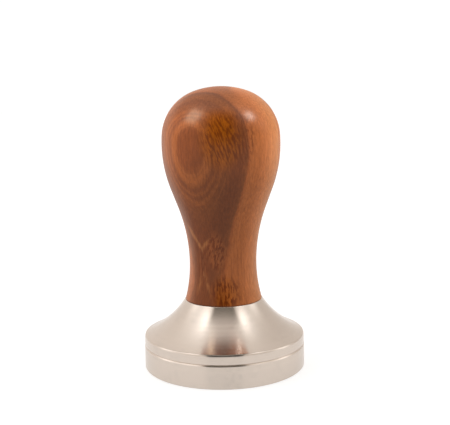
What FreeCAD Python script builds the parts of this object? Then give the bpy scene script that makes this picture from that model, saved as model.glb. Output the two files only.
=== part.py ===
# Espresso tamper for a 58 mm basket: a turned hardwood handle screwed onto a turned steel base.
# Millimetres, +Z up. The origin is the centre of the tamping face, so everything stands above it.
# Every size is a cell of the sheet "Sizes", and every sketch and feature is bound to those cells.

import FreeCAD, Part
import math
import os

import Sketcher
from FreeCAD import Vector

SIZES = {
    # Steel base: a straight piston, a fine groove, a rim band, a hollow flare and a flat boss.
    "piston_diameter": 58.0,
    "wall_height": 8.1,
    "face_chamfer": 0.3,
    "groove_depth": 0.3,
    "groove_width": 0.5,
    "band_diameter": 57.8,
    "rim_height": 11.95,
    "flare_radius": 32.3,
    "boss_diameter": 28.0,
    "base_height": 24.5,
    "edge_round": 0.3,
    # M8 screw joint, with the threads drawn as plain cylinders.
    "thread_diameter": 8.0,
    "thread_clearance": 0.05,
    "tapped_depth": 18.0,
    "countersink": 0.45,
    "drill_tip": 0.6,
    # Socket set screw.
    "stud_length": 30.0,
    "stud_in_base": 17.5,
    "stud_chamfer": 0.6,
    "socket_width": 4.0,
    "socket_depth": 4.5,
    # Brass insert, pressed into the handle's bore.
    "insert_diameter": 12.0,
    "insert_length": 15.0,
    "insert_recess": 0.5,
    "insert_chamfer": 0.4,
    "ring_groove_depth": 0.5,
    "ring_groove_width": 1.4,
    "ring_groove_start": 2.6,
    "ring_groove_run": 8.4,
    "ring_groove_count": 4.0,
    "insert_clearance": 0.02,
    "insert_headroom": 0.1,
    # Turned handle, measured up from its foot.
    "handle_length": 75.9,
    "crown_radius": 28.5,
    "shoulder_radius": 17.4,
    "belly_radius": 45.3,
    "bulb_diameter": 42.0,
    "bulb_height": 55.9,
    "neck_diameter": 24.06,
    "neck_height": 13.2,
    "neck_curve_above": 58.2,
    "neck_curve_below": 50.0,
}


def fill_sheet(document):
    """Writes each size into its own cell, with the size's name as the cell's alias."""
    sheet = document.addObject("Spreadsheet::Sheet", "Sizes")
    for row, (name, size) in enumerate(SIZES.items(), start=1):
        sheet.set(f"A{row}", str(size))
        sheet.setAlias(f"A{row}", name)
    document.recompute()


def new_body(document, label, height="0"):
    """Adds an empty body that stands at the given height on the tamper's axis."""
    body = document.addObject("PartDesign::Body", label)
    body.Label = label
    body.setExpression("Placement.Base.z", height)
    return body


def new_sketch(body, name, role="XZ_Plane"):
    """Adds a sketch on one of the body's own origin planes."""
    sketch = body.newObject("Sketcher::SketchObject", name)
    plane = next(item for item in body.Origin.OriginFeatures if item.Role == role)
    sketch.AttachmentSupport = [(plane, "")]
    sketch.MapMode = "FlatFace"
    return sketch


def bind(sketch, name, constraint, expression):
    """Adds a constraint whose size is worked out from the sheet."""
    index = sketch.addConstraint(constraint)
    sketch.renameConstraint(index, name)
    sketch.setExpression(f"Constraints.{name}", expression)


def fix_point(sketch, name, geometry, end, across, up):
    """Fixes a point's distance from the axis and its height, each on an axis where it is 0."""
    for way, axis, expression in (("X", -2, across), ("Y", -1, up)):
        if expression == "0":
            sketch.addConstraint(Sketcher.Constraint("PointOnObject", geometry, end, axis))
            continue
        size = float(sketch.evalExpression(expression))
        distance = Sketcher.Constraint(f"Distance{way}", -1, 1, geometry, end, size)
        bind(sketch, f"{name}_{way}", distance, expression)


def hollow_arc(start, end, radius):
    """An arc between two points of an outline, with its centre outside the material."""
    chord = end - start
    middle = (start + end) / 2
    outward = Vector(chord.y, -chord.x, 0).normalize()
    centre = middle + outward * math.sqrt(radius**2 - (chord.Length / 2) ** 2)
    angles = [math.atan2(place.y - centre.y, place.x - centre.x) for place in (end, start)]
    return Part.ArcOfCircle(Part.Circle(centre, Vector(0, 0, 1), radius), *angles)


def draw_outline(body, name, corners, hollows=()):
    """Draws a closed half outline, anticlockwise round the material.

    corners: (name, distance from the axis, height) of each corner, as expressions of the sheet.
    hollows: for a corner that a hollow arc starts from, its name and the arc's radius.
    """
    sketch = new_sketch(body, name)
    hollows = dict(hollows)
    places = [
        Vector(float(sketch.evalExpression(across)), float(sketch.evalExpression(up)), 0)
        for _, across, up in corners
    ]
    edges = []
    for (corner, _, _), start, end in zip(corners, places, places[1:] + places[:1]):
        if corner in hollows:
            radius = float(sketch.evalExpression(hollows[corner]))
            edge = sketch.addGeometry(hollow_arc(start, end, radius), False)
            bind(sketch, f"{corner}_arc", Sketcher.Constraint("Radius", edge, radius), hollows[corner])
            edges.append((edge, 2, 1))
        else:
            edge = sketch.addGeometry(Part.LineSegment(start, end), False)
            edges.append((edge, 1, 2))
    for (edge, _, last), (following, first, _) in zip(edges, edges[1:] + edges[:1]):
        sketch.addConstraint(Sketcher.Constraint("Coincident", edge, last, following, first))
    for (corner, across, up), (edge, first, _) in zip(corners, edges):
        fix_point(sketch, corner, edge, first, across, up)
    return sketch


def turn(body, name, sketch, kind="Revolution"):
    """Turns an outline right round the axis, to add material or, as a Groove, to cut it."""
    feature = body.newObject(f"PartDesign::{kind}", name)
    feature.Profile = sketch
    feature.ReferenceAxis = (sketch, ["V_Axis"])
    feature.Angle = 360
    sketch.Document.recompute()
    return feature


def round_edges(body, name, base, places, radius):
    """Rounds the circular edges that lie at the given (radius, height) places."""
    names = []
    for number, edge in enumerate(base.Shape.Edges, start=1):
        circle = edge.Curve
        if not isinstance(circle, Part.Circle):
            continue
        for across, up in places:
            if abs(circle.Radius - across) + abs(circle.Center.z - up) < 1e-4:
                names.append(f"Edge{number}")
    fillet = body.newObject("PartDesign::Fillet", name)
    fillet.Base = (base, names)
    fillet.setExpression("Radius", radius)
    base.Document.recompute()


def blind_hole(body, name, radius, depth, mouth, up):
    """Cuts a drilled hole on the axis, upward or downward from its mouth, with a drill's cone."""
    way = "+" if up else "-"
    corners = [
        ("mouth", radius, mouth),
        ("floor", radius, f"{mouth} {way} {depth}"),
        ("tip", "0", f"{mouth} {way} {depth} {way} ({radius}) * Sizes.drill_tip"),
        ("centre", "0", mouth),
    ]
    turn(body, name, draw_outline(body, f"{name}Outline", corners), "Groove")


def make_base(document):
    """The steel piston, with its groove, rim, flare and boss, and the tapped hole for the stud."""
    body = new_body(document, "base")
    wall = "Sizes.piston_diameter / 2"
    band = "Sizes.band_diameter / 2"
    corners = [
        ("face_centre", "0", "0"),
        ("face_edge", f"{wall} - Sizes.face_chamfer", "0"),
        ("wall_foot", wall, "Sizes.face_chamfer"),
        ("wall_top", wall, "Sizes.wall_height"),
        ("groove_floor", f"{band} - Sizes.groove_depth", "Sizes.wall_height + Sizes.groove_width / 2"),
        ("band_foot", band, "Sizes.wall_height + Sizes.groove_width"),
        ("rim", band, "Sizes.rim_height"),
        ("boss_edge", "Sizes.boss_diameter / 2", "Sizes.base_height"),
        ("boss_centre", "0", "Sizes.base_height"),
    ]
    outline = draw_outline(body, "BaseOutline", corners, {"rim": "Sizes.flare_radius"})
    turned = turn(body, "BaseTurned", outline)
    rim = (SIZES["band_diameter"] / 2, SIZES["rim_height"])
    boss = (SIZES["boss_diameter"] / 2, SIZES["base_height"])
    round_edges(body, "SoftEdges", turned, (rim, boss), "Sizes.edge_round")
    bore = "Sizes.thread_diameter / 2 + Sizes.thread_clearance"
    blind_hole(body, "TappedHole", bore, "Sizes.tapped_depth", "Sizes.base_height", up=False)
    mouth = [
        ("outside", f"{bore} + Sizes.countersink", "Sizes.base_height"),
        ("axis", "0", "Sizes.base_height"),
        ("axis_below", "0", "Sizes.base_height - Sizes.countersink"),
        ("inside", bore, "Sizes.base_height - Sizes.countersink"),
    ]
    turn(body, "Countersink", draw_outline(body, "CountersinkOutline", mouth), "Groove")
    return body


def make_stud(document):
    """The M8 set screw, chamfered at both ends, with a hexagon socket in its upper end."""
    body = new_body(document, "stud", "Sizes.base_height - Sizes.stud_in_base")
    radius = "Sizes.thread_diameter / 2"
    corners = [
        ("foot_centre", "0", "0"),
        ("foot_edge", f"{radius} - Sizes.stud_chamfer", "0"),
        ("foot_side", radius, "Sizes.stud_chamfer"),
        ("top_side", radius, "Sizes.stud_length - Sizes.stud_chamfer"),
        ("top_edge", f"{radius} - Sizes.stud_chamfer", "Sizes.stud_length"),
        ("top_centre", "0", "Sizes.stud_length"),
    ]
    turn(body, "StudTurned", draw_outline(body, "StudOutline", corners))
    sketch = new_sketch(body, "SocketOutline", "XY_Plane")
    sketch.setExpression("AttachmentOffset.Base.z", "Sizes.stud_length")
    draw_hexagon(sketch, "Sizes.socket_width / 3 ^ 0.5")
    socket = body.newObject("PartDesign::Pocket", "Socket")
    socket.Profile = sketch
    socket.setExpression("Length", "Sizes.socket_depth")
    document.recompute()
    return body


def draw_hexagon(sketch, corner_radius):
    """Draws a regular hexagon about the origin, on a construction circle through its corners."""
    radius = float(sketch.evalExpression(corner_radius))
    circle = sketch.addGeometry(Part.Circle(Vector(), Vector(0, 0, 1), radius), True)
    sketch.addConstraint(Sketcher.Constraint("Coincident", circle, 3, -1, 1))
    bind(sketch, "corner_radius", Sketcher.Constraint("Radius", circle, radius), corner_radius)
    turns = [math.radians(60 * corner) for corner in range(6)]
    places = [Vector(radius * math.cos(angle), radius * math.sin(angle), 0) for angle in turns]
    lines = [
        sketch.addGeometry(Part.LineSegment(start, end), False)
        for start, end in zip(places, places[1:] + places[:1])
    ]
    for line, following in zip(lines, lines[1:] + lines[:1]):
        sketch.addConstraint(Sketcher.Constraint("Coincident", line, 2, following, 1))
        sketch.addConstraint(Sketcher.Constraint("PointOnObject", line, 1, circle))
    for line in lines[1:]:
        sketch.addConstraint(Sketcher.Constraint("Equal", lines[0], line))
    sketch.addConstraint(Sketcher.Constraint("PointOnObject", lines[0], 1, -1))


def make_threaded_insert(document):
    """The brass bush, tapped right through, with ring grooves that grip the wood."""
    body = new_body(document, "threaded_insert", "Sizes.base_height + Sizes.insert_recess")
    bore = "Sizes.thread_diameter / 2 + Sizes.thread_clearance"
    side = "Sizes.insert_diameter / 2"
    corners = [
        ("foot_bore", f"{bore} + Sizes.insert_chamfer", "0"),
        ("foot_edge", f"{side} - Sizes.insert_chamfer", "0"),
        ("foot_side", side, "Sizes.insert_chamfer"),
        ("top_side", side, "Sizes.insert_length - Sizes.insert_chamfer"),
        ("top_edge", f"{side} - Sizes.insert_chamfer", "Sizes.insert_length"),
        ("top_bore", bore, "Sizes.insert_length"),
        ("bore_foot", bore, "Sizes.insert_chamfer"),
    ]
    turn(body, "BushTurned", draw_outline(body, "BushOutline", corners))
    floor = f"{side} - Sizes.ring_groove_depth"
    top = "Sizes.ring_groove_start + Sizes.ring_groove_width"
    ring = [
        ("low_floor", floor, "Sizes.ring_groove_start"),
        ("low_side", f"{side} + Sizes.ring_groove_depth", "Sizes.ring_groove_start"),
        ("high_side", f"{side} + Sizes.ring_groove_depth", top),
        ("high_floor", floor, top),
    ]
    outline = draw_outline(body, "RingGrooveOutline", ring)
    groove = turn(body, "RingGroove", outline, "Groove")
    pattern = body.newObject("PartDesign::LinearPattern", "RingGrooves")
    pattern.Originals = [groove]
    pattern.Direction = (outline, ["V_Axis"])
    pattern.setExpression("Length", "Sizes.ring_groove_run")
    pattern.setExpression("Occurrences", "Sizes.ring_groove_count")
    body.Tip = pattern
    document.recompute()
    return body


def draw_handle(sketch):
    """Draws the grip's half outline as tangent arcs: crown, shoulder, belly, slope, neck and foot.

    The arcs are first laid out roughly; tangency, radii, heights and diameters then settle them.
    """
    size = SIZES
    top = size["handle_length"]
    crown_centre = Vector(0, top - size["crown_radius"], 0)
    belly_centre = Vector(size["bulb_diameter"] / 2 - size["belly_radius"], size["bulb_height"], 0)
    neck_side = size["neck_diameter"] / 2
    shoulder_centre = Vector(size["bulb_diameter"] / 6, size["bulb_height"], 0)
    above_centre = Vector(neck_side + size["neck_curve_above"], size["neck_height"], 0)
    below_centre = Vector(neck_side + size["neck_curve_below"], size["neck_height"], 0)

    def arc(centre, radius_name, start, end):
        circle = Part.Circle(centre, Vector(0, 0, 1), size[radius_name])
        piece = Part.ArcOfCircle(circle, math.radians(start), math.radians(end))
        number = sketch.addGeometry(piece, False)
        radius = Sketcher.Constraint("Radius", number, size[radius_name])
        bind(sketch, radius_name, radius, f"Sizes.{radius_name}")
        return number

    crown = arc(crown_centre, "crown_radius", 70, 90)
    shoulder = arc(shoulder_centre, "shoulder_radius", 5, 70)
    belly = arc(belly_centre, "belly_radius", -20, 5)
    above = arc(above_centre, "neck_curve_above", 160, 180)
    below = arc(below_centre, "neck_curve_below", 180, 195)
    belly_end = sketch.getPoint(belly, 1)
    neck_start = sketch.getPoint(above, 1)
    foot_edge = sketch.getPoint(below, 2)
    slope = sketch.addGeometry(Part.LineSegment(belly_end, neck_start), False)
    foot = sketch.addGeometry(Part.LineSegment(foot_edge, Vector()), False)
    axis = sketch.addGeometry(Part.LineSegment(Vector(), Vector(0, top, 0)), False)

    def constrain(kind, *points):
        sketch.addConstraint(Sketcher.Constraint(kind, *points))

    constrain("Tangent", shoulder, 2, crown, 1)
    constrain("Tangent", belly, 2, shoulder, 1)
    constrain("Tangent", slope, 1, belly, 1)
    constrain("Tangent", above, 1, slope, 2)
    constrain("Tangent", below, 1, above, 2)
    constrain("Coincident", foot, 1, below, 2)
    constrain("Coincident", foot, 2, -1, 1)
    constrain("Coincident", axis, 1, foot, 2)
    constrain("Coincident", axis, 2, crown, 2)
    constrain("Horizontal", foot)
    constrain("Horizontal", above, 2, above, 3)
    constrain("PointOnObject", crown, 3, -2)
    fix_point(sketch, "top", crown, 2, "0", "Sizes.handle_length")
    fix_point(
        sketch, "neck_centre", above, 3,
        "Sizes.neck_diameter / 2 + Sizes.neck_curve_above", "Sizes.neck_height",
    )
    inward = Sketcher.Constraint("DistanceX", belly, 3, -1, 1, -belly_centre.x)
    bind(sketch, "belly_centre_X", inward, "Sizes.belly_radius - Sizes.bulb_diameter / 2")
    upward = Sketcher.Constraint("DistanceY", -1, 1, belly, 3, belly_centre.y)
    bind(sketch, "belly_centre_Y", upward, "Sizes.bulb_height")


def make_handle(document):
    """The hardwood grip, with the drilled bore in its foot that holds the insert."""
    body = new_body(document, "handle", "Sizes.base_height")
    sketch = new_sketch(body, "HandleOutline")
    draw_handle(sketch)
    turn(body, "HandleTurned", sketch)
    radius = "Sizes.insert_diameter / 2 + Sizes.insert_clearance"
    depth = "(Sizes.insert_recess + Sizes.insert_length + Sizes.insert_headroom)"
    blind_hole(body, "InsertBore", radius, depth, "0", up=True)
    return body


def check(document, bodies):
    """Stops if any object failed, or if any sub-part isn't one valid solid."""
    for item in document.Objects:
        if {"Invalid", "Error"} & set(item.State):
            raise RuntimeError(f"{item.Label} failed: {item.State}")
    for body in bodies:
        shape = body.Shape
        if shape.isNull() or not shape.isValid() or len(shape.Solids) != 1:
            raise RuntimeError(f"{body.Label} isn't one valid solid")


def export(bodies):
    """Writes each sub-part to a file of its own and reports its size."""
    os.makedirs("parts", exist_ok=True)
    for body in bodies:
        body.Shape.exportStep(f"parts/{body.Label}.step")
        box = body.Shape.optimalBoundingBox()
        print(
            f"{body.Label}: {body.Shape.Volume:.1f} mm3, {box.XLength:.2f} x {box.YLength:.2f}"
            f" x {box.ZLength:.2f} mm, from z = {box.ZMin:.2f}"
        )


def main():
    """Builds the sheet and the four sub-parts, checks them and writes their files."""
    document = FreeCAD.newDocument("tamper")
    fill_sheet(document)
    makers = (make_base, make_stud, make_threaded_insert, make_handle)
    bodies = [make(document) for make in makers]
    document.recompute()
    check(document, bodies)
    export(bodies)


main()
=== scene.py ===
"""Studio model of an espresso tamper: a turned hardwood handle screwed onto a turned steel base.

Sizes in the classes are millimetres, as on a workshop drawing, and meshes are made in metres.
Every turned piece is a grid surface: its radius and height are functions of a place along the
outline and an angle round the turning axis, worked out as whole arrays.
"""

import logging
import math
from collections.abc import Sequence
from dataclasses import dataclass, field
from enum import Enum
from functools import reduce

import bpy
import numpy as np
from mathutils import Matrix, Vector
from numpy.typing import NDArray

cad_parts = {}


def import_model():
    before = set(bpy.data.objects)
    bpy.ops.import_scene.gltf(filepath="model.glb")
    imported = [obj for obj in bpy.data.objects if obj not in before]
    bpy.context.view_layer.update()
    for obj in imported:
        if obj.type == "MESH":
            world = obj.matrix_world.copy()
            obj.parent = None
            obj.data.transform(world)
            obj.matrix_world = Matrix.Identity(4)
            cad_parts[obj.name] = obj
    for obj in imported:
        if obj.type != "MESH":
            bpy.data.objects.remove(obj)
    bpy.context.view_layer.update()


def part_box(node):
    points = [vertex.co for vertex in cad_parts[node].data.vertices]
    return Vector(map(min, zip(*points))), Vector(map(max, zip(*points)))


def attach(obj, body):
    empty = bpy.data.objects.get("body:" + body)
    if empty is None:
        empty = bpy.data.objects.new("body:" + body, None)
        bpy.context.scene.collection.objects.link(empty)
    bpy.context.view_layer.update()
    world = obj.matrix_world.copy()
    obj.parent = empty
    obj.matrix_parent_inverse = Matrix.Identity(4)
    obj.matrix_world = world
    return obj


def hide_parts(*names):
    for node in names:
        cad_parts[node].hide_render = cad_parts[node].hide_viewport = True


Array = NDArray[np.float64]
Colour = tuple[float, float, float]
Place = tuple[float, float, float]
Ends = tuple[float, float]
Socket = bpy.types.NodeSocket

MM = 0.001
LOG = logging.getLogger("tamper")


class Body(Enum):
    """The rigid bodies that a piece can ride on."""

    BASE = "base"
    STUD = "stud"
    HANDLE = "handle"


class Slot(Enum):
    """The record's material slots."""

    TURNED_STEEL = "turned_steel"
    SCREW_STEEL = "screw_steel"
    BRASS = "brass"
    HARDWOOD = "hardwood"


class Mix(Enum):
    """Ways of laying one colour over another."""

    OVER = "MIX"
    SHADE = "MULTIPLY"


# ---------------------------------------------------------------- outlines and turned surfaces


def arc(centre: Array, radius: float, start: float, stop: float, count: int) -> Array:
    """Points along an arc: the centre plus radius times (cosine, sine) of even angles.

    Args:
        centre: Distance from the axis and height of the arc's centre.
        radius: Radius of the arc.
        start: First angle, in degrees.
        stop: Last angle, in degrees.
        count: Number of points.

    Returns:
        One row per point, holding its distance from the axis and its height.
    """
    angle = np.radians(np.linspace(start, stop, count))
    return centre + radius * np.stack([np.cos(angle), np.sin(angle)], axis=1)


def angle_of(towards: Array) -> float:
    """The direction of a vector in the outline's plane, in degrees."""
    return math.degrees(math.atan2(towards[1], towards[0]))


def meeting_point(first: Array, reach: float, second: Array, other_reach: float) -> Array:
    """The outer point that lies at given distances from two others, where two circles cross.

    Args:
        first: Centre of the first circle.
        reach: Radius of the first circle.
        second: Centre of the second circle.
        other_reach: Radius of the second circle.

    Returns:
        Whichever crossing is further from the turning axis.
    """
    gap = second - first
    distance = float(np.hypot(*gap))
    along = (reach**2 - other_reach**2 + distance**2) / (2 * distance)
    aside = math.sqrt(reach**2 - along**2)
    unit = gap / distance
    across = np.array([unit[1], -unit[0]]) * aside
    foot = first + unit * along
    return max(foot + across, foot - across, key=lambda place: place[0])


def rounded(corners: Sequence[Sequence[float]], steps: int = 7) -> Array:
    """An outline through corners, each rounded by an arc that touches both of its sides.

    The arc starts at radius / tan(half the corner's angle) along each side, and its centre lies
    on the corner's bisector at radius / sin(half the angle).

    Args:
        corners: Distance from the axis, height and rounding radius of each corner.
        steps: Points on each rounding.

    Returns:
        One row per point, holding its distance from the axis and its height.
    """
    places = np.array([corner[:2] for corner in corners])
    runs = [places[:1]]
    for number in range(1, len(corners) - 1):
        here, radius = places[number], corners[number][2]
        if radius == 0:
            runs.append(here[None])
            continue
        back = (places[number - 1] - here) / np.hypot(*(places[number - 1] - here))
        on = (places[number + 1] - here) / np.hypot(*(places[number + 1] - here))
        half = math.acos(float(np.clip(back @ on, -1, 1))) / 2
        centre = here + (back + on) / np.hypot(*(back + on)) * radius / math.sin(half)
        start = angle_of(here + back * radius / math.tan(half) - centre)
        stop = angle_of(here + on * radius / math.tan(half) - centre)
        sweep = (stop - start + 180) % 360 - 180
        runs.append(arc(centre, radius, start, start + sweep, steps))
    runs.append(places[-1:])
    return np.concatenate(runs)


def guarded(outline: Array, guard: float = 0.12) -> Array:
    """Adds a point close to each end of every long straight run, which keeps its shading flat.

    Args:
        outline: Distance from the axis and height of each point.
        guard: How close, in millimetres.

    Returns:
        The outline with the added points.
    """
    step = np.diff(outline, axis=0)
    length = np.hypot(step[:, 0], step[:, 1])
    share = (guard / np.maximum(length, 4 * guard))[:, None]
    rows = np.stack([outline[:-1], outline[:-1] + step * share, outline[1:] - step * share], axis=1)
    wanted = np.stack([np.full(length.shape, True), length > 4 * guard, length > 4 * guard], axis=1)
    return np.concatenate([rows[wanted], outline[-1:]])


@dataclass(frozen=True)
class Grid:
    """A turned surface: the radius and height, in millimetres, at each row and column.

    Rows follow the outline, anticlockwise round the material, and columns go once round the axis.
    """

    radius: Array
    height: Array

    @classmethod
    def turned(cls, outline: Array, columns: int) -> "Grid":
        """A plain surface of revolution: every column repeats the outline.

        Args:
            outline: Distance from the axis and height of each point.
            columns: Number of columns round the axis.

        Returns:
            The grid.
        """
        ones = np.ones(columns)
        return cls(outline[:, :1] * ones, outline[:, 1:] * ones)

    def then(self, other: "Grid") -> "Grid":
        """The grid with another one's rows after its own."""
        radius = np.concatenate([self.radius, other.radius])
        return Grid(radius, np.concatenate([self.height, other.height]))

    def mesh(self, name: str) -> bpy.types.Mesh:
        """Makes the closed mesh: point = (radius x cos angle, radius x sin angle, height).

        A row of zero radius shrinks to one pole, and an outline without poles closes on itself.

        Args:
            name: Name of the mesh.

        Returns:
            The mesh, smooth apart from its real edges.
        """
        rows, columns = self.radius.shape
        angle = np.linspace(0, 2 * np.pi, columns, endpoint=False)
        across, aside = self.radius * np.cos(angle), self.radius * np.sin(angle)
        points = np.stack([across, aside, self.height], axis=-1) * MM
        pole = self.radius.max(axis=1) < 1e-9
        size = np.where(pole, 1, columns)
        first = np.cumsum(size) - size
        number = first[:, None] + np.where(pole[:, None], 0, np.arange(columns))
        kept = ~pole[:, None] | (np.arange(columns) == 0)
        lower, upper = (number[:-1], number[1:]) if pole.any() else (number, np.roll(number, -1, 0))
        quads = np.stack([lower, np.roll(lower, -1, 1), np.roll(upper, -1, 1), upper], axis=-1)
        quads = quads.reshape(-1, 4)
        fan_up = quads[:, 0] == quads[:, 1]
        fan_down = quads[:, 2] == quads[:, 3]
        faces = quads[~fan_up & ~fan_down].tolist()
        faces += quads[fan_up][:, [0, 2, 3]].tolist() + quads[fan_down][:, :3].tolist()
        mesh = bpy.data.meshes.new(name)
        mesh.from_pydata(points[kept].tolist(), [], faces)
        mesh.shade_smooth()
        mesh.set_sharp_from_angle(angle=math.radians(28))
        mesh.update()
        return mesh


@dataclass(frozen=True)
class Thread:
    """A right-handed metric screw thread, with the shares of its flat crest and its flanks."""

    pitch: float = 1.25
    depth: float = 0.7
    flat: float = 0.15
    flank: float = 0.72

    def ridge(self, height: Array, columns: int) -> Array:
        """How far each point stands up the thread: 0 at the root and 1 at the crest.

        The phase is height / pitch - turns; a triangle wave of it, stretched and clipped, gives
        the straight flanks with a flat crest and root.

        Args:
            height: Height of each row.
            columns: Number of columns round the axis.

        Returns:
            One value per row and column.
        """
        turns = np.arange(columns) / columns
        phase = height[:, None] / self.pitch - turns
        wave = np.abs(2 * (phase % 1) - 1)
        return np.clip((wave - self.flat) / self.flank, 0, 1)


# ---------------------------------------------------------------- shader building


class Graph:
    """Adds nodes to a shader tree and links them, so that a formula reads in order."""

    def __init__(self, tree: bpy.types.NodeTree) -> None:
        """Keeps the tree that the nodes go into."""
        self.tree = tree

    def node(self, kind: str, **settings: object) -> bpy.types.Node:
        """Adds a node and sets its own settings.

        Args:
            kind: Its kind, such as "TexNoise".
            settings: Its settings by name.

        Returns:
            The node.
        """
        made = self.tree.nodes.new(f"ShaderNode{kind}")
        for name, value in settings.items():
            setattr(made, name, value)
        return made

    def feed(self, socket: Socket, value: object) -> None:
        """Links a socket to another one, or sets its plain value.

        Args:
            socket: The input to feed.
            value: An output, a number, a vector or a colour.
        """
        if isinstance(value, bpy.types.NodeSocket):
            self.tree.links.new(value, socket)
        elif isinstance(value, tuple) and len(value) == 3 and socket.type == "RGBA":
            socket.default_value = (*value, 1.0)
        else:
            socket.default_value = value

    def feed_all(self, node: bpy.types.Node, values: dict[str, object]) -> None:
        """Feeds several inputs of a node by their names."""
        for name, value in values.items():
            self.feed(node.inputs[name], value)

    def math(self, operation: str, *values: object) -> Socket:
        """One arithmetic step.

        Args:
            operation: Its name, such as "ADD".
            values: Numbers or outputs, in the node's order.

        Returns:
            The result.
        """
        made = self.node("Math", operation=operation)
        for socket, value in zip(made.inputs, values):
            self.feed(socket, value)
        return made.outputs[0]

    def product(self, *values: object) -> Socket:
        """All the values multiplied together."""
        return reduce(lambda left, right: self.math("MULTIPLY", left, right), values)

    def bell(self, offset: Socket, spread: float) -> Socket:
        """One at no offset, falling away as e to the power of minus (offset / spread) squared."""
        share = self.math("DIVIDE", offset, spread)
        return self.math("EXPONENT", self.product(share, share, -1.0))

    def vector(self, operation: str, *values: object) -> Socket:
        """One vector step.

        Args:
            operation: Its name, such as "DISTANCE".
            values: Vectors, numbers or outputs, in the node's order.

        Returns:
            The result, a number or a vector as the step gives.
        """
        made = self.node("VectorMath", operation=operation)
        free = [socket for socket in made.inputs if socket.enabled]
        for socket, value in zip(free, values):
            self.feed(socket, value)
        return next(socket for socket in made.outputs if socket.enabled)

    def parts(self, place: Socket) -> Sequence[Socket]:
        """The parts of a place.

        Args:
            place: The place.

        Returns:
            Its X, Y and Z.
        """
        made = self.node("SeparateXYZ")
        self.feed(made.inputs[0], place)
        return made.outputs

    def joined(self, *values: object) -> Socket:
        """A place made of its parts.

        Args:
            values: Its X, Y and Z, of which the last may be left out.

        Returns:
            The place.
        """
        made = self.node("CombineXYZ")
        for socket, value in zip(made.inputs, values):
            self.feed(socket, value)
        return made.outputs[0]

    def scaled(self, place: Socket, sizes: Place) -> Socket:
        """A place divided by a size along each axis, so that one unit is one size."""
        share = tuple(1 / size for size in sizes)
        return self.vector("MULTIPLY", place, share)

    def noise(self, place: Socket, detail: float = 2.0, rough: float = 0.5) -> Socket:
        """Smooth noise about 0.5 with features about one unit across.

        Args:
            place: Where it is read.
            detail: How many finer layers it has.
            rough: How strong the finer layers are.

        Returns:
            The noise.
        """
        made = self.node("TexNoise")
        self.feed_all(made, {"Vector": place, "Scale": 1.0, "Detail": detail, "Roughness": rough})
        return made.outputs["Fac"]

    def between(self, value: Socket, low: float, high: float, ends: Ends = (0.0, 1.0)) -> Socket:
        """Maps low to high onto the two ends, easing in and out and holding beyond them.

        Args:
            value: The number that is mapped.
            low: Where the first end is reached.
            high: Where the second end is reached.
            ends: The two ends.

        Returns:
            The mapped number.
        """
        made = self.node("MapRange", interpolation_type="SMOOTHSTEP")
        self.feed_all(made, {"Value": value, "From Min": low, "From Max": high})
        self.feed_all(made, {"To Min": ends[0], "To Max": ends[1]})
        return made.outputs["Result"]

    def mix(self, share: object, under: object, over: object, way: Mix = Mix.OVER) -> Socket:
        """Lays one colour over another.

        Args:
            share: How much of it, 0 to 1.
            under: The colour below.
            over: The colour above.
            way: How it is laid.

        Returns:
            The colour.
        """
        made = self.node("Mix", data_type="RGBA", blend_type=way.value)
        colours = [socket for socket in made.inputs if socket.type == "RGBA"]
        self.feed(made.inputs["Factor"], share)
        self.feed(colours[0], under)
        self.feed(colours[1], over)
        return next(socket for socket in made.outputs if socket.type == "RGBA")

    def group(self, tree: bpy.types.NodeTree, **values: object) -> bpy.types.Node:
        """Places a shared node group.

        Args:
            tree: The group.
            values: Its inputs by name.

        Returns:
            The node.
        """
        made = self.node("Group", node_tree=tree)
        self.feed_all(made, values)
        return made

    def position(self) -> Socket:
        """The place on the piece, in millimetres."""
        return self.vector("SCALE", self.node("TexCoord").outputs["Object"], 1 / MM)

    def bump(self, height: Socket, depth: float) -> Socket:
        """A surface normal tilted by a height.

        Args:
            height: The height, 0 to 1.
            depth: What 1 stands for, in millimetres.

        Returns:
            The normal.
        """
        made = self.node("Bump")
        self.feed_all(made, {"Strength": 1.0, "Distance": depth * MM, "Height": height})
        return made.outputs["Normal"]


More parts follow.
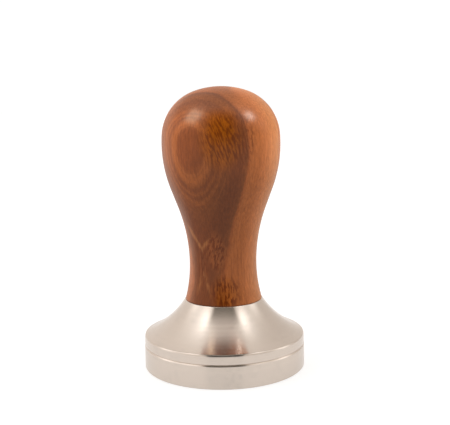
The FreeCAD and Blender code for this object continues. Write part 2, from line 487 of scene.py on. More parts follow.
class Workshop:
    """The shader groups that several finishes share, each built once."""

    def __init__(self) -> None:
        """Builds the groups."""
        self.turning_marks = self._turning_marks()
        self.handling_marks = self._handling_marks()

    @staticmethod
    def _new_group(
        name: str, inputs: Sequence[str], outputs: Sequence[str]
    ) -> tuple[Graph, bpy.types.Node, bpy.types.Node]:
        """Makes an empty group with a Position input and named numbers in and out.

        Args:
            name: Name of the group.
            inputs: Names of its number inputs.
            outputs: Names of its number outputs.

        Returns:
            A graph on the group's tree, its input node and its output node.
        """
        tree = bpy.data.node_groups.new(name, "ShaderNodeTree")
        tree.interface.new_socket("Position", in_out="INPUT", socket_type="NodeSocketVector")
        for title in inputs:
            tree.interface.new_socket(title, in_out="INPUT", socket_type="NodeSocketFloat")
        for title in outputs:
            tree.interface.new_socket(title, in_out="OUTPUT", socket_type="NodeSocketFloat")
        return Graph(tree), tree.nodes.new("NodeGroupInput"), tree.nodes.new("NodeGroupOutput")

    def _turning_marks(self) -> bpy.types.NodeTree:
        """Fine rings left by a lathe tool: noise of (distance from the axis, height) / spacing.

        Returns:
            A group with Height for a bump and Shade for a colour or roughness, both 0 to 1.
        """
        graph, given, result = self._new_group("turning_marks", ["Spacing"], ["Height", "Shade"])
        across, aside, height = graph.parts(given.outputs["Position"])
        squares = graph.math("MULTIPLY_ADD", across, across, graph.product(aside, aside))
        place = graph.joined(graph.math("SQRT", squares), height)
        finer = graph.vector("SCALE", place, graph.math("DIVIDE", 1.0, given.outputs["Spacing"]))
        wider = graph.vector("SCALE", finer, 0.17)
        graph.feed(result.inputs["Height"], graph.noise(finer, 1.5))
        graph.feed(result.inputs["Shade"], graph.noise(wider, 2.0))
        return graph.tree

    def _handling_marks(self) -> bpy.types.NodeTree:
        """Soft patches left by wiping and handling: two sizes of cloudy noise multiplied.

        Returns:
            A group with Mask, 0 where clean and 1 where most handled.
        """
        graph, given, result = self._new_group("handling_marks", ["Size"], ["Mask"])
        share = graph.math("DIVIDE", 1.0, given.outputs["Size"])
        finer = graph.vector("SCALE", given.outputs["Position"], share)
        wider = graph.vector("SCALE", finer, 0.3)
        cloud = graph.between(graph.noise(wider, 2.0), 0.4, 0.65)
        speck = graph.between(graph.noise(finer, 3.0), 0.35, 0.7)
        graph.feed(result.inputs["Mask"], graph.product(cloud, speck))
        return graph.tree


def new_material(name: str) -> tuple[bpy.types.Material, Graph, bpy.types.Node]:
    """Makes an empty material with its Principled shader.

    Args:
        name: Name of the material.

    Returns:
        The material, a graph on its tree and the shader node.
    """
    material = bpy.data.materials.new(name)
    material.use_nodes = True
    material.node_tree.nodes.clear()
    graph = Graph(material.node_tree)
    shader, output = graph.node("BsdfPrincipled"), graph.node("OutputMaterial")
    graph.feed(output.inputs["Surface"], shader.outputs["BSDF"])
    return material, graph, shader


@dataclass(frozen=True)
class TurnedMetal:
    """A lathe-turned metal: fine rings that pull its reflections out across them.

    A stretch of 1 pulls them furthest, and the shares say how far the tarnish colours the rings
    and the handled patches.
    """

    name: str
    colour: Colour
    roughness: float
    stretch: float
    mark_spacing: float
    mark_depth: float
    tarnish: Colour
    ring_share: float = 0.05
    handled_share: float = 0.15
    patch_size: float = 2.2

    def material(self, workshop: Workshop) -> bpy.types.Material:
        """Builds the metal.

        The quarter turn lays the stretch across the rings.

        Args:
            workshop: The shared groups.

        Returns:
            The material.
        """
        material, graph, shader = new_material(self.name)
        place = graph.position()
        marks = graph.group(workshop.turning_marks, Position=place, Spacing=self.mark_spacing)
        hands = graph.group(workshop.handling_marks, Position=place, Size=self.patch_size)
        shade = graph.between(marks.outputs["Shade"], 0.3, 0.7)
        rings = graph.product(shade, self.ring_share)
        tint = graph.mix(rings, self.colour, self.tarnish)
        handled = graph.product(hands.outputs["Mask"], self.handled_share)
        rough = graph.between(shade, 0.0, 1.0, (self.roughness - 0.01, self.roughness + 0.01))
        round_axis = graph.node("Tangent", direction_type="RADIAL", axis="Z")
        looks = {
            "Base Color": graph.mix(handled, tint, self.tarnish),
            "Roughness": graph.math("MULTIPLY_ADD", handled, 0.12, rough),
            "Metallic": 1.0,
            "Anisotropic": self.stretch,
            "Anisotropic Rotation": 0.25,
            "Tangent": round_axis.outputs["Tangent"],
            "Normal": graph.bump(marks.outputs["Height"], self.mark_depth),
        }
        graph.feed_all(shader, looks)
        return material


class WoodTone(Enum):
    """The growth layers' colours, from the palest to the darkest, then those of the marks."""

    AMBER = (0.400, 0.155, 0.052)
    HONEY = (0.370, 0.130, 0.042)
    SIENNA = (0.335, 0.106, 0.031)
    RUSSET = (0.275, 0.081, 0.020)
    CHESTNUT = (0.225, 0.061, 0.015)
    COCOA = (0.182, 0.052, 0.012)
    WALNUT = (0.160, 0.047, 0.012)
    UMBER = (0.142, 0.040, 0.010)
    BARK = (0.140, 0.039, 0.010)
    PLUM = (0.126, 0.034, 0.009)
    SAND = (0.280, 0.110, 0.036)
    GOLD = (0.240, 0.063, 0.003)
    EMBER = (0.100, 0.019, 0.002)


@dataclass(frozen=True)
class Vein:
    """A line that follows one layer between two heights, left of a place across the front.

    The share says how strongly its tone covers the layer.
    """

    depth: float
    width: float
    low: float
    high: float
    right: float
    share: float
    tone: WoodTone


@dataclass(frozen=True)
class Chevron:
    """A pale V of grain on the front: its tip, how steeply each leg climbs and where it ends."""

    across: float
    height: float
    left_climb: float
    right_climb: float
    left_end: float
    right_end: float
    width: float
    share: float


@dataclass(frozen=True)
class Flecks:
    """A patch of short dark flecks: its centre and reach, and the size and lean of one fleck.

    The ground is the tone laid between the flecks.
    """

    centre: Place
    reach: Place
    fleck: tuple[float, float]
    lean: float
    share: float
    ground: WoodTone
    ground_share: float


@dataclass(frozen=True)
class Hardwood:
    """A reddish-brown hardwood with flat growth layers that the turning cuts into ovals.

    Each layer's depth is its distance in millimetres from the turning axis towards the side
    where the ovals open. Each bend is a height, a spread and how far the layers dip there, and
    each drift is the size of a wavering and its amount. The bulb and left lifts are partly the
    wood's own tone and partly painted light: the bulb paler than the neck, where light from above
    falls on it, and its left side paler still, where stronger light falls from the left. The crown
    shade is painted shade that deepens the crown, and the two sheens lay a painted sheen of pale
    colour at the left edge and over the crown. The streaks, fibres and pores are sizes of the
    fine grain.
    """

    facing: float = -30.0
    reach: float = 22.0
    # Painted light, partly the wood's own tone: the bulb paler than the neck and its left side
    # paler still; then painted shade at the crown.
    bulb_light_and_tone: Ends = (1.04, 1.4)
    left_painted_light: Ends = (0.03, 0.2)
    crown_shade: Ends = (0.43, 0.14)
    crown_blend: float = 9.0
    # Painted sheen: a pale colour laid over the left edge and the crown.
    left_sheen: float = 0.2
    crown_sheen: float = 0.07
    sheen_colour: Colour = (0.5, 0.3, 0.22)
    waver: Place = (1.5, 1.5, 3.0)
    waver_width: float = 1.6
    streaks: Place = (0.6, 0.6, 14.0)
    fibres: Place = (0.45, 0.45, 2.4)
    pores: Place = (0.2, 0.2, 1.6)
    pore_share: float = 0.3
    pore_depth: float = 0.008
    oil: float = 0.45
    oil_roughness: float = 0.26
    bends: tuple[tuple[float, float, float], ...] = ((47.0, 16.0, 1.9), (99.0, 2.5, 1.5))
    drifts: tuple[tuple[Place, float], ...] = (
        ((13.0, 13.0, 30.0), 0.7),
        ((2.4, 2.4, 9.0), 0.25),
        ((0.5, 0.5, 2.6), 0.12),
    )
    veins: tuple[Vein, ...] = (
        Vein(13.7, 1.5, 91.0, 101.0, 16.0, 0.8, WoodTone.COCOA),
        Vein(12.2, 0.45, 88.0, 101.0, 16.0, 0.7, WoodTone.PLUM),
        Vein(19.75, 0.3, 62.0, 96.0, 3.0, 0.12, WoodTone.SIENNA),
        Vein(20.1, 0.12, 62.0, 96.0, 3.0, 0.12, WoodTone.SIENNA),
        Vein(19.1, 0.13, 58.0, 76.0, 3.0, 0.5, WoodTone.PLUM),
        Vein(18.4, 0.14, 58.0, 76.0, 3.0, 0.45, WoodTone.UMBER),
        Vein(17.45, 0.16, 58.0, 74.0, 3.0, 0.5, WoodTone.PLUM),
        Vein(16.7, 0.2, 58.0, 72.0, 3.0, 0.5, WoodTone.COCOA),
    )
    chevrons: tuple[Chevron, ...] = (
        Chevron(-7.3, 44.2, 1.7, 1.3, -12.2, -4.6, 1.5, 0.6),
        Chevron(-6.9, 35.6, -2.8, -2.6, -9.4, -4.4, 2.6, 0.4),
    )
    flecks: tuple[Flecks, ...] = (
        Flecks((0.1, -20.3, 82.9), (9.2, 9.5, 12.0), (0.7, 3.2), 0.36, 0.72, WoodTone.GOLD, 0.95),
        Flecks((7.0, -19.0, 83.0), (6.0, 8.0, 12.0), (0.8, 2.6), 0.2, 0.5, WoodTone.EMBER, 0.1),
        Flecks((-2.4, -12.6, 43.5), (4.6, 6.0, 9.0), (0.8, 2.4), -0.25, 0.8, WoodTone.RUSSET, 0.5),
        Flecks((-7.0, -10.8, 38.5), (2.8, 6.0, 8.5), (0.7, 3.5), 0.0, 0.6, WoodTone.COCOA, 0.3),
        Flecks((0.6, -12.8, 29.0), (6.6, 6.0, 7.5), (0.8, 3.0), 0.05, 0.9, WoodTone.GOLD, 0.45),
    )
    layers: tuple[tuple[float, WoodTone], ...] = (
        (-20.6, WoodTone.RUSSET),
        (-19.2, WoodTone.SIENNA),
        (-17.4, WoodTone.HONEY),
        (-15.9, WoodTone.CHESTNUT),
        (-15.2, WoodTone.SIENNA),
        (-12.8, WoodTone.HONEY),
        (-10.4, WoodTone.UMBER),
        (-9.9, WoodTone.SIENNA),
        (-6.0, WoodTone.HONEY),
        (-4.8, WoodTone.RUSSET),
        (-4.3, WoodTone.AMBER),
        (1.8, WoodTone.HONEY),
        (4.8, WoodTone.SIENNA),
        (7.6, WoodTone.RUSSET),
        (10.9, WoodTone.RUSSET),
        (11.6, WoodTone.CHESTNUT),
        (12.0, WoodTone.WALNUT),
        (12.5, WoodTone.BARK),
        (13.7, WoodTone.PLUM),
        (15.4, WoodTone.PLUM),
        (16.3, WoodTone.BARK),
        (16.85, WoodTone.BARK),
        (17.1, WoodTone.UMBER),
        (17.85, WoodTone.COCOA),
        (18.3, WoodTone.PLUM),
        (18.6, WoodTone.COCOA),
        (18.95, WoodTone.PLUM),
        (19.35, WoodTone.WALNUT),
        (19.7, WoodTone.COCOA),
        (20.1, WoodTone.WALNUT),
        (20.45, WoodTone.PLUM),
    )

    def _depth(self, graph: Graph, place: Socket, height: Socket) -> Socket:
        """How deep a place lies in the layers.

        Its distance along the facing direction, plus a smooth bump at each bend, plus drifts
        that are long along the grain.

        Args:
            graph: The material's graph.
            place: The place on the piece, in millimetres.
            height: Its height.

        Returns:
            The depth in millimetres.
        """
        turn = math.radians(self.facing)
        facing = (math.sin(turn), -math.cos(turn), 0.0)
        depth = graph.vector("DOT_PRODUCT", place, facing)
        for level, spread, dip in self.bends:
            near = graph.bell(graph.math("SUBTRACT", height, level), spread)
            depth = graph.math("MULTIPLY_ADD", near, dip, depth)
        for sizes, amount in self.drifts:
            wander = graph.math("SUBTRACT", graph.noise(graph.scaled(place, sizes)), 0.5)
            depth = graph.math("MULTIPLY_ADD", wander, amount, depth)
        return depth

    def _layer_colour(self, graph: Graph, depth: Socket) -> Socket:
        """The growth layers' colours, read from the list by depth.

        Args:
            graph: The material's graph.
            depth: How deep the place lies.

        Returns:
            The colour.
        """
        ramp = graph.node("ValToRGB")
        share = graph.math("MULTIPLY_ADD", depth, 0.5 / self.reach, 0.5)
        graph.feed(ramp.inputs["Fac"], share)
        stops = ramp.color_ramp.elements
        while len(stops) < len(self.layers):
            stops.new(0.5)
        for stop, (layer, _) in zip(stops, self.layers):
            stop.position = 0.5 + 0.5 * layer / self.reach
        for stop, (_, tone) in zip(stops, self.layers):
            stop.color = (*tone.value, 1.0)
        return ramp.outputs["Color"]

    def _with_flecks(self, graph: Graph, place: Socket, colour: Socket) -> Socket:
        """Lays each patch of flecks over the layers: leaning noise, darkest where it is highest.

        Args:
            graph: The material's graph.
            place: The place on the piece, in millimetres.
            colour: The layers' colour.

        Returns:
            The colour with the flecks.
        """
        for patch in self.flecks:
            centred = graph.vector("SUBTRACT", place, patch.centre)
            away = graph.vector("LENGTH", graph.scaled(centred, patch.reach))
            mask = graph.between(away, 1.0, 0.5)
            ground = graph.product(mask, patch.ground_share)
            colour = graph.mix(ground, colour, patch.ground.value)
            beside = graph.vector("DOT_PRODUCT", place, (1.0, 0.0, patch.lean))
            along = graph.vector("DOT_PRODUCT", place, (-patch.lean, 0.0, 1.0))
            wide, tall = patch.fleck
            leaning = graph.scaled(graph.joined(beside, 0.0, along), (wide, 1.0, tall))
            ripple = graph.noise(leaning, 2.0)
            dark = graph.product(graph.between(ripple, 0.46, 0.58), patch.share)
            colour = graph.mix(graph.product(mask, dark), colour, WoodTone.EMBER.value)
        return colour

    def _with_chevrons(
        self, graph: Graph, colour: Socket, depth: Socket, across: Socket, height: Socket
    ) -> Socket:
        """Lays each V over the layers, where the height is near its leg's height.

        Each leg's height is the tip's height plus its climb times the distance from the tip.

        Args:
            graph: The material's graph.
            colour: The layers' colour.
            depth: How deep the place lies, which keeps the V on the front.
            across: Its distance to the right of the axis.
            height: Its height.

        Returns:
            The colour with the Vs.
        """
        front = graph.between(depth, 6.0, 8.0)
        for vein in self.chevrons:
            beside = graph.math("SUBTRACT", across, vein.across)
            left = graph.product(graph.math("MINIMUM", beside, 0.0), -vein.left_climb)
            right = graph.product(graph.math("MAXIMUM", beside, 0.0), vein.right_climb)
            leg = graph.math("ADD", graph.math("ADD", left, right), vein.height)
            off = graph.math("ABSOLUTE", graph.math("SUBTRACT", height, leg))
            mask = graph.between(off, vein.width, 0.2 * vein.width, (0.0, vein.share))
            after = graph.between(across, vein.left_end - 0.8, vein.left_end + 1.6)
            before = graph.between(across, vein.right_end + 0.6, vein.right_end - 1.2)
            mask = graph.product(mask, after, before, front)
            colour = graph.mix(mask, colour, WoodTone.SAND.value)
        return colour

    def _with_veins(
        self, graph: Graph, colour: Socket, depth: Socket, height: Socket, across: Socket
    ) -> Socket:
        """Lays each vein over the layers, within its heights and left of its end.

        Args:
            graph: The material's graph.
            colour: The layers' colour.
            depth: How deep the place lies.
            height: Its height.
            across: Its distance to the right of the axis.

        Returns:
            The colour with the veins.
        """
        for vein in self.veins:
            off = graph.math("ABSOLUTE", graph.math("SUBTRACT", depth, vein.depth))
            mask = graph.between(off, vein.width, 0.2 * vein.width, (0.0, vein.share))
            above = graph.between(height, vein.low - 0.8, vein.low + 0.8)
            below = graph.between(height, vein.high + 1.5, vein.high - 1.5)
            left = graph.between(across, vein.right + 1.0, vein.right - 1.0)
            mask = graph.product(mask, above, below, left)
            colour = graph.mix(mask, colour, vein.tone.value)
        return colour

    def _with_painted_light(
        self, graph: Graph, place: Socket, colour: Socket, across: Socket, height: Socket
    ) -> Socket:
        """Paints light and shade into the wood. The bulb is paler and its left side paler still,
        partly the wood's own tone and partly painted light. The crown gets painted shade, and the
        left edge and the crown get a painted sheen.

        Sideways is the distance to the right over the distance from the axis, with a least
        distance that blends the sides over the crown.

        Args:
            graph: The material's graph.
            place: The place on the piece, in millimetres.
            colour: The colour of the layers and lines.
            across: Its distance to the right of the axis.
            height: Its height.

        Returns:
            The colour with its painted light, shade and sheen.
        """
        away = graph.vector("LENGTH", graph.vector("MULTIPLY", place, (1.0, 1.0, 0.0)))
        sideways = graph.math("DIVIDE", across, graph.math("MAXIMUM", away, self.crown_blend))
        # Painted light, partly the wood's own tone: paler up the bulb, and paler still on its left
        # above the neck.
        upper = graph.between(height, 54.0, 70.0, self.left_painted_light)
        left = graph.product(upper, graph.between(sideways, -0.1, -0.62))
        light_and_tone = graph.between(height, 63.0, 82.0, self.bulb_light_and_tone)
        light_and_tone = graph.product(light_and_tone, graph.math("ADD", left, 1.0))
        # Painted shade: the crown deeper, less so on its right side.
        crown = graph.between(height, 89.0, 98.0)
        shade = graph.product(graph.between(sideways, 0.25, 0.6, self.crown_shade), crown)
        light_and_tone = graph.product(light_and_tone, graph.math("SUBTRACT", 1.0, shade))
        colour = graph.mix(1.0, colour, light_and_tone, Mix.SHADE)
        # Painted sheen: a pale colour laid over the left edge and the crown.
        left_sheen_mask = graph.product(graph.between(sideways, -0.7, -0.97), self.left_sheen)
        top = graph.between(height, 88.0, 95.0, (0.0, self.crown_sheen))
        return graph.mix(graph.math("MAXIMUM", left_sheen_mask, top), colour, self.sheen_colour)

    def _grained(self, graph: Graph, place: Socket, colour: Socket) -> tuple[Socket, Socket]:
        """Lays the fine grain over the colour: long streaks, short fibres and dark pores.

        Args:
            graph: The material's graph.
            place: The place on the piece, in millimetres.
            colour: The colour without grain.

        Returns:
            The colour, and how far the surface stands up.
        """
        streak = graph.noise(graph.scaled(place, self.streaks), 3.0, 0.6)
        fibre = graph.noise(graph.scaled(place, self.fibres), 1.5)
        light_streak = graph.between(streak, 0.3, 0.7, (0.88, 1.13))
        light_fibre = graph.between(fibre, 0.32, 0.68, (0.92, 1.09))
        colour = graph.mix(1.0, colour, graph.product(light_streak, light_fibre), Mix.SHADE)
        pore = graph.between(graph.noise(graph.scaled(place, self.pores), 1.0), 0.62, 0.7)
        colour = graph.mix(graph.product(pore, self.pore_share), colour, WoodTone.EMBER.value)
        return colour, graph.math("MULTIPLY_ADD", pore, -1.0, graph.product(streak, 0.35))

    def material(self, workshop: Workshop) -> bpy.types.Material:
        """Builds the wood.

        Args:
            workshop: The shared groups.

        Returns:
            The material.
        """
        material, graph, shader = new_material("oiled_hardwood")
        place = graph.position()
        across, _, height = graph.parts(place)
        depth = self._depth(graph, place, height)
        colour = self._with_veins(graph, self._layer_colour(graph, depth), depth, height, across)
        wander = graph.math("SUBTRACT", graph.noise(graph.scaled(place, self.waver)), 0.5)
        wavering = graph.math("MULTIPLY_ADD", wander, self.waver_width, across)
        colour = self._with_chevrons(graph, colour, depth, wavering, height)
        # Painted light, shade and sheen; the light is partly the wood's own tone.
        colour = self._with_painted_light(graph, place, colour, across, height)
        colour = self._with_flecks(graph, place, colour)
        colour, raised = self._grained(graph, place, colour)
        hands = graph.group(workshop.handling_marks, Position=place, Size=3.0)
        looks = {
            "Base Color": colour,
            "Roughness": graph.between(hands.outputs["Mask"], 0.0, 1.0, (0.4, 0.5)),
            "Specular IOR Level": 0.0,
            "Coat Weight": self.oil,
            "Coat Roughness": self.oil_roughness,
            "Normal": graph.bump(raised, self.pore_depth),
        }
        graph.feed_all(shader, looks)
        return material


# ---------------------------------------------------------------- the tamper's pieces


@dataclass
class Piece:
    """One turned piece that stands for one node of the frame."""

    name: str
    node: str
    body: Body
    slot: Slot
    columns: int

    def grid(self) -> Grid:
        """The piece's surface, which each kind of piece works out for itself."""
        raise NotImplementedError

    def span(self) -> tuple[float, float, float]:
        """The radius, lowest and highest place of the piece's node, in millimetres."""
        low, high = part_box(self.node)
        return high[0] / MM, low[2] / MM, high[2] / MM

    def make(self, material: bpy.types.Material) -> bpy.types.Object:
        """Builds the piece, dresses it and sets it on its body.

        Args:
            material: The piece's finish.

        Returns:
            The finished object.
        """
        made = bpy.data.objects.new(self.name, self.grid().mesh(self.name))
        bpy.context.scene.collection.objects.link(made)
        made.data.materials.append(material)
        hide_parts(self.node)
        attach(made, self.body.value)
        LOG.info("%s: %d faces, on body %s", self.name, len(made.data.polygons), self.body.value)
        return made


@dataclass
class Handle(Piece):
    """The turned grip: crown, shoulder, belly, straight slope and hollow neck, over its bore."""

    crown: float = 28.5
    shoulder: float = 17.4
    belly: float = 45.3
    bulb_radius: float = 21.0
    bulb_height: float = 80.4
    neck_radius: float = 12.03
    neck_height: float = 37.7
    neck_curve: float = 58.2
    foot_curve: float = 50.0
    bore_radius: float = 6.02
    bore_depth: float = 15.6
    bore_edge: float = 0.3
    drill_tip: float = 0.6

    def outside(self, foot: float, top: float) -> Array:
        """The grip's outline from its foot up to its crown, as arcs that touch.

        The shoulder's centre lies where circles about the crown's and the belly's centres meet,
        and the slope leaves the belly at the angle of the line that touches both it and the neck.

        Args:
            foot: Height of the foot.
            top: Height of the crown.

        Returns:
            One row per point, from the foot to the crown.
        """
        crown = np.array([0.0, top - self.crown])
        belly = np.array([self.bulb_radius - self.belly, self.bulb_height])
        neck = np.array([self.neck_radius + self.neck_curve, self.neck_height])
        lower = np.array([self.neck_radius + self.foot_curve, self.neck_height])
        reach, other_reach = self.crown - self.shoulder, self.belly - self.shoulder
        shoulder = meeting_point(crown, reach, belly, other_reach)
        gap = neck - belly
        lean = math.degrees(math.acos((self.belly + self.neck_curve) / float(np.hypot(*gap))))
        slope = angle_of(gap) + lean
        flare = math.degrees(math.asin((self.neck_height - foot) / self.foot_curve))
        top_turn, side_turn = angle_of(shoulder - crown), angle_of(shoulder - belly)
        runs = (
            arc(lower, self.foot_curve, 180 + flare, 180, 24),
            arc(neck, self.neck_curve, 180, 180 + slope, 30)[1:],
            arc(belly, self.belly, slope, side_turn, 40),
            arc(shoulder, self.shoulder, side_turn, top_turn, 40)[1:],
            arc(crown, self.crown, top_turn, 90, 40)[1:],
        )
        return np.concatenate(runs)

    def grid(self) -> Grid:
        """The bore from its tip down to the foot, then the foot and the outside up to the crown.

        Returns:
            The grid.
        """
        _, foot, top = self.span()
        outside = self.outside(foot, top)
        ceiling = foot + self.bore_depth
        corners = [
            (0.0, ceiling + self.bore_radius * self.drill_tip, 0.0),
            (self.bore_radius, ceiling, 0.1),
            (self.bore_radius, foot + self.bore_edge, 0.1),
            (self.bore_radius + self.bore_edge, foot, 0.1),
            (outside[0, 0], foot, 0.2),
            (*outside[1], 0.0),
        ]
        inside = guarded(rounded(corners))
        outside[-1, 0] = 0.0
        return Grid.turned(np.concatenate([inside, outside[2:]]), self.columns)


@dataclass
class Base(Piece):
    """The steel piston: face, straight side, fine groove, rim band, hollow flare and boss.

    The lip is the eased edge of the straight side, just under the groove.
    """

    face_chamfer: float = 0.3
    wall_height: float = 8.1
    lip_drop: float = 0.25
    lip_rise: float = 0.2
    lip_width: float = 0.3
    groove_width: float = 0.5
    groove_depth: float = 0.3
    band_radius: float = 28.9
    rim_height: float = 11.95
    rim_round: float = 1.2
    flare_radius: float = 32.3
    boss_radius: float = 14.0
    boss_round: float = 0.4
    broken_edge: float = 0.06
    thread_step: float = 0.1
    bore_radius: float = 4.05
    bore_depth: float = 18.0
    countersink: float = 0.45
    drill_tip: float = 0.6
    thread: Thread = field(default_factory=Thread)

    def flare(self, top: float) -> Array:
        """The hollow flare: an arc between rim and boss whose centre is outside the steel.

        Args:
            top: Height of the boss.

        Returns:
            One row per point, from the rim to the boss.
        """
        rim, boss = np.array([self.band_radius, self.rim_height]), np.array([self.boss_radius, top])
        half = (boss - rim) / 2
        outward = np.array([half[1], -half[0]]) / np.hypot(*half)
        centre = (rim + boss) / 2 + outward * math.sqrt(self.flare_radius**2 - float(half @ half))
        start, stop = angle_of(rim - centre), angle_of(boss - centre)
        return arc(centre, self.flare_radius, start, stop, 60)

    def bore(self, top: float) -> Grid:
        """The tapped hole: its radius grows from the crest by the thread's depth at the root.

        Args:
            top: Height of the boss.

        Returns:
            The grid, from the mouth down.
        """
        height = np.arange(top - self.thread_step / 2, top - self.bore_depth, -self.thread_step)
        ease = np.clip((height - top + self.bore_depth) / self.thread.pitch, 0, 1)[:, None]
        root = self.thread.depth * ease * (1 - self.thread.ridge(height, self.columns))
        mouth = (height - top + self.countersink)[:, None]
        radius = self.bore_radius + np.maximum(root, mouth)
        return Grid(radius, height[:, None] * np.ones(self.columns))

    def grid(self) -> Grid:
        """The outside from the middle of the face up to the boss, then the hole down to its tip.

        Returns:
            The grid.
        """
        piston, _, top = self.span()
        groove = self.wall_height + self.groove_width / 2
        mouth = self.bore_radius + self.countersink
        soft = self.broken_edge
        corners = [
            (0.0, 0.0, 0.0),
            (piston - self.face_chamfer, 0.0, soft),
            (piston, self.face_chamfer, soft),
            (piston, self.wall_height - self.lip_drop, soft),
            (piston - self.lip_width, self.wall_height + self.lip_rise, soft / 2),
            (self.band_radius - self.groove_depth, groove, soft / 2),
            (self.band_radius, self.wall_height + self.groove_width, soft),
            (self.band_radius, self.rim_height, self.rim_round),
            *((*place, 0.0) for place in self.flare(top)[1:-1]),
            (self.boss_radius, top, self.boss_round),
            (mouth, top, soft),
            (mouth - self.thread_step / 2, top - self.thread_step / 2, 0.0),
        ]
        outside = Grid.turned(guarded(rounded(corners))[:-1], self.columns)
        floor = top - self.bore_depth
        drill = self.bore_radius * self.drill_tip
        tip = np.array([[self.bore_radius, floor], [0.0, floor - drill]])
        return outside.then(self.bore(top)).then(Grid.turned(tip, self.columns))


@dataclass
class SetScrew(Piece):
    """The threaded stud, chamfered at both ends, with a hexagon socket in its upper end."""

    radius: float = 4.0
    chamfer: float = 0.75
    socket_width: float = 4.0
    socket_depth: float = 4.5
    socket_edge: float = 0.15
    socket_tip: float = 1.0
    thread_step: float = 0.1
    thread: Thread = field(default_factory=Thread)

    def grid(self) -> Grid:
        """The foot, the threaded side, the top, and the socket down to its conical floor.

        The socket's radius is half its width / cosine of the angle from the middle of a flat.

        Returns:
            The grid.
        """
        _, foot, top = self.span()
        height = np.linspace(foot, top, int((top - foot) / self.thread_step))
        cap = self.radius - self.chamfer + np.minimum(height - foot, top - height)[:, None]
        crest = self.radius - self.thread.depth * (1 - self.thread.ridge(height, self.columns))
        side = Grid(np.minimum(crest, cap), height[:, None] * np.ones(self.columns))
        turn = np.arange(self.columns) / self.columns * 360
        flat = self.socket_width / 2 / np.cos(np.radians(turn % 60 - 30))
        floor = top - self.socket_depth
        edge = self.socket_edge
        levels = np.array([top, top - edge, floor, floor - self.socket_tip])
        radius = np.stack([flat + edge, flat, flat, flat * 0])
        socket = Grid(radius, levels[:, None] * np.ones(self.columns))
        centre = Grid.turned(np.array([[0.0, foot]]), self.columns)
        return centre.then(side).then(socket)


@dataclass
class ThreadedInsert(Piece):
    """The brass bush: ring grooves outside that grip the wood, and a tapped bore."""

    radius: float = 6.0
    chamfer: float = 0.4
    groove_depth: float = 0.5
    groove_width: float = 1.4
    groove_start: float = 2.6
    groove_step: float = 2.8
    groove_count: int = 4
    bore_radius: float = 4.05
    broken_edge: float = 0.05
    thread_step: float = 0.1
    thread: Thread = field(default_factory=Thread)

    def grid(self) -> Grid:
        """The grooved outside going up, the top, then the tapped bore going down.

        Returns:
            The grid.
        """
        _, foot, top = self.span()
        inner, floor = self.radius - self.chamfer, self.radius - self.groove_depth
        soft = self.broken_edge
        corners = [(inner, foot, 0.0), (self.radius, foot + self.chamfer, soft)]
        for ring in range(self.groove_count):
            low = foot + self.groove_start + ring * self.groove_step
            high = low + self.groove_width
            corners += [(self.radius, low, soft), (floor, low, soft)]
            corners += [(floor, high, soft), (self.radius, high, soft)]
        corners += [(self.radius, top - self.chamfer, soft), (inner, top, soft)]
        corners += [(self.bore_radius + self.thread.depth, top, 0.0)]
        outside = Grid.turned(guarded(rounded(corners, 3)), self.columns)
        height = np.arange(top - self.thread_step / 2, foot, -self.thread_step)
        root = self.thread.depth * (1 - self.thread.ridge(height, self.columns))
        ends = self.thread.depth - np.minimum(height - foot, top - height)[:, None]
        radius = self.bore_radius + np.maximum(root, ends)
        return outside.then(Grid(radius, height[:, None] * np.ones(self.columns)))


# ---------------------------------------------------------------- the studio


@dataclass(frozen=True)
class Glow:
    """A bright patch of wall: the way to its middle, how far it spreads and how bright it is."""

    middle: Place
    spread: float
    strength: float


@dataclass(frozen=True)
class SoftBox:
    """A square lamp: its direction and distance from a point on the axis, and its light."""

    name: str
    way: Place
    aim: float
    distance: float
    size: float
    power: float
    colour: Colour


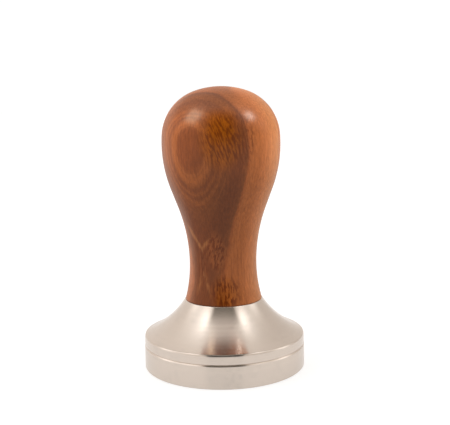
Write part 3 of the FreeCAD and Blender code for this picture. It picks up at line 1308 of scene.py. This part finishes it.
@dataclass
class Studio:
    """A white sweep with two soft boxes, and the camera on the same side as the ovals.

    The walls and the dark patch are what the steel mirrors. The camera itself sees only white.
    """

    camera_place: Place = (0.0, -300.0, 100.7)
    camera_down: float = 8.55
    camera_right: float = 0.19
    camera_roll: float = 1.0
    lens: float = 67.8
    table_size: float = 3000.0
    table_colour: Colour = (0.5, 0.5, 0.5)
    table_glow: float = 0.52
    table_glow_seen: float = 0.16
    left_wall: Colour = (0.9, 0.845, 0.8)
    right_wall: Colour = (0.74, 0.69, 0.645)
    glow_colour: Colour = (0.85, 0.84, 0.82)
    low_shadow: Colour = (0.03, 0.028, 0.025)
    high_shadow: Colour = (0.22, 0.2, 0.17)
    white: Colour = (1.02, 1.02, 1.02)
    handle_boxes: tuple[SoftBox, ...] = (
        SoftBox("left_box", (-0.7, -0.25, 0.67), 90.0, 380.0, 170.0, 1.08, (1.0, 0.83, 0.61)),
        SoftBox("right_box", (0.71, -0.2, 0.63), 90.0, 380.0, 95.0, 0.66, (1.0, 0.95, 0.88)),
    )
    glows: tuple[Glow, ...] = (
        Glow((-0.58, -0.1, 0.81), 0.34, 0.55),
        Glow((0.55, -0.13, 0.82), 0.28, 0.5),
        Glow((-0.5, -0.2, 0.84), 0.17, 1.6),
        Glow((0.5, -0.2, 0.84), 0.15, 1.6),
        Glow((-0.93, 0.05, 0.36), 0.24, 0.9),
        Glow((0.93, 0.05, 0.36), 0.24, 0.9),
    )

    def floor(self) -> bpy.types.Object:
        """A plain white table top, lit a little from within and more so for the camera.

        Returns:
            The table.
        """
        size = self.table_size * MM
        mesh = bpy.data.meshes.new("table")
        corners = [(-size, -size, 0), (size, -size, 0), (size, size, 0), (-size, size, 0)]
        mesh.from_pydata(corners, [], [(0, 1, 2, 3)])
        table = bpy.data.objects.new("table", mesh)
        bpy.context.scene.collection.objects.link(table)
        material, graph, shader = new_material("table_white")
        seen = graph.node("LightPath").outputs["Is Camera Ray"]
        looks = {
            "Base Color": self.table_colour,
            "Roughness": 0.8,
            "Specular IOR Level": 0.2,
            "Emission Color": (1.0, 1.0, 1.0),
            "Emission Strength": graph.math(
                "MULTIPLY_ADD", seen, self.table_glow_seen, self.table_glow
            ),
        }
        graph.feed_all(shader, looks)
        mesh.materials.append(material)
        return table

    def surroundings(self) -> None:
        """Pale walls with a glow high on each side and a dark patch high behind the camera."""
        world = bpy.data.worlds.new("white_tent")
        world.use_nodes = True
        world.node_tree.nodes.clear()
        graph = Graph(world.node_tree)
        way = graph.node("TexCoord").outputs["Generated"]
        right, back, up = graph.parts(way)
        colour = graph.mix(graph.between(right, 0.0, 0.55), self.left_wall, self.right_wall)
        for glow in self.glows:
            near = graph.bell(graph.vector("DISTANCE", way, glow.middle), glow.spread)
            lit = tuple(glow.strength + part for part in self.glow_colour)
            colour = graph.mix(near, colour, lit)
        middle = graph.between(graph.math("ABSOLUTE", right), 0.46, 0.36)
        patch = graph.product(middle, graph.between(up, 0.93, 0.86), graph.between(back, 0.1, -0.1))
        shadow = graph.mix(graph.between(up, 0.66, 0.8), self.low_shadow, self.high_shadow)
        colour = graph.mix(patch, colour, shadow)
        seen = graph.node("LightPath").outputs["Is Camera Ray"]
        background, output = graph.node("Background"), graph.node("OutputWorld")
        colour = graph.mix(seen, colour, self.white)
        graph.feed_all(background, {"Color": colour, "Strength": 1.0})
        graph.feed(output.inputs["Surface"], background.outputs["Background"])
        bpy.context.scene.world = world

    def soft_box(self, box: SoftBox, lit: Sequence[bpy.types.Object]) -> None:
        """One square lamp that faces the handle and lights only some pieces.

        Args:
            box: The lamp's sizes, place and light.
            lit: The pieces that it lights.
        """
        lamp = bpy.data.lights.new(box.name, "AREA")
        lamp.size = box.size * MM
        lamp.energy = box.power
        lamp.color = box.colour
        made = bpy.data.objects.new(box.name, lamp)
        direction = Vector(box.way).normalized()
        made.location = (Vector((0, 0, box.aim)) + direction * box.distance) * MM
        made.rotation_euler = direction.to_track_quat("Z", "Y").to_euler()
        made.visible_camera = False
        bpy.context.scene.collection.objects.link(made)
        pieces = bpy.data.collections.new(f"{box.name}_lights")
        for piece in lit:
            pieces.objects.link(piece)
        made.light_linking.receiver_collection = pieces

    def camera(self) -> None:
        """The camera: it looks along +Y, tipped down, turned slightly right and rolled."""
        data = bpy.data.cameras.new("camera")
        data.lens = self.lens
        made = bpy.data.objects.new("camera", data)
        down, right = math.radians(self.camera_down), math.radians(self.camera_right)
        upright = Matrix.Rotation(math.pi / 2 - down, 4, "X")
        turned = Matrix.Rotation(-right, 4, "Z") @ upright
        rolled = turned @ Matrix.Rotation(-math.radians(self.camera_roll), 4, "Z")
        made.matrix_world = Matrix.Translation(Vector(self.camera_place) * MM) @ rolled
        bpy.context.scene.collection.objects.link(made)
        bpy.context.scene.camera = made

    def build(self, wood: Sequence[bpy.types.Object]) -> None:
        """Sets up the whole studio.

        Args:
            wood: The pieces that the lamps light.
        """
        self.floor()
        self.camera()
        self.surroundings()
        for box in self.handle_boxes:
            self.soft_box(box, wood)
        bpy.context.scene.view_settings.view_transform = "Standard"


STEEL = TurnedMetal(
    name="satin_steel",
    colour=(0.72, 0.63, 0.555),
    roughness=0.2,
    stretch=0.95,
    mark_spacing=0.22,
    mark_depth=0.0001,
    tarnish=(0.5, 0.45, 0.41),
)
SCREW = TurnedMetal(
    name="screw_steel",
    colour=(0.4, 0.39, 0.38),
    roughness=0.34,
    stretch=0.4,
    mark_spacing=0.1,
    mark_depth=0.001,
    tarnish=(0.3, 0.28, 0.27),
)
BRASS = TurnedMetal(
    name="cut_brass",
    colour=(0.8, 0.58, 0.25),
    roughness=0.26,
    stretch=0.5,
    mark_spacing=0.12,
    mark_depth=0.001,
    tarnish=(0.6, 0.4, 0.18),
)


def main() -> None:
    """Loads the frame, builds each piece in order and sets up the studio."""
    logging.basicConfig(level=logging.INFO, format="%(name)s: %(message)s")
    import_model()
    workshop = Workshop()
    steel, screw, brass = (metal.material(workshop) for metal in (STEEL, SCREW, BRASS))
    wood = Hardwood().material(workshop)
    Base("steel_base", "base", Body.BASE, Slot.TURNED_STEEL, 192).make(steel)
    SetScrew("set_screw", "stud", Body.STUD, Slot.SCREW_STEEL, 72).make(screw)
    ThreadedInsert("brass_insert", "threaded_insert", Body.HANDLE, Slot.BRASS, 96).make(brass)
    handle = Handle("wooden_handle", "handle", Body.HANDLE, Slot.HARDWOOD, 192).make(wood)
    Studio().build([handle])


if __name__ == "__main__":
    main()
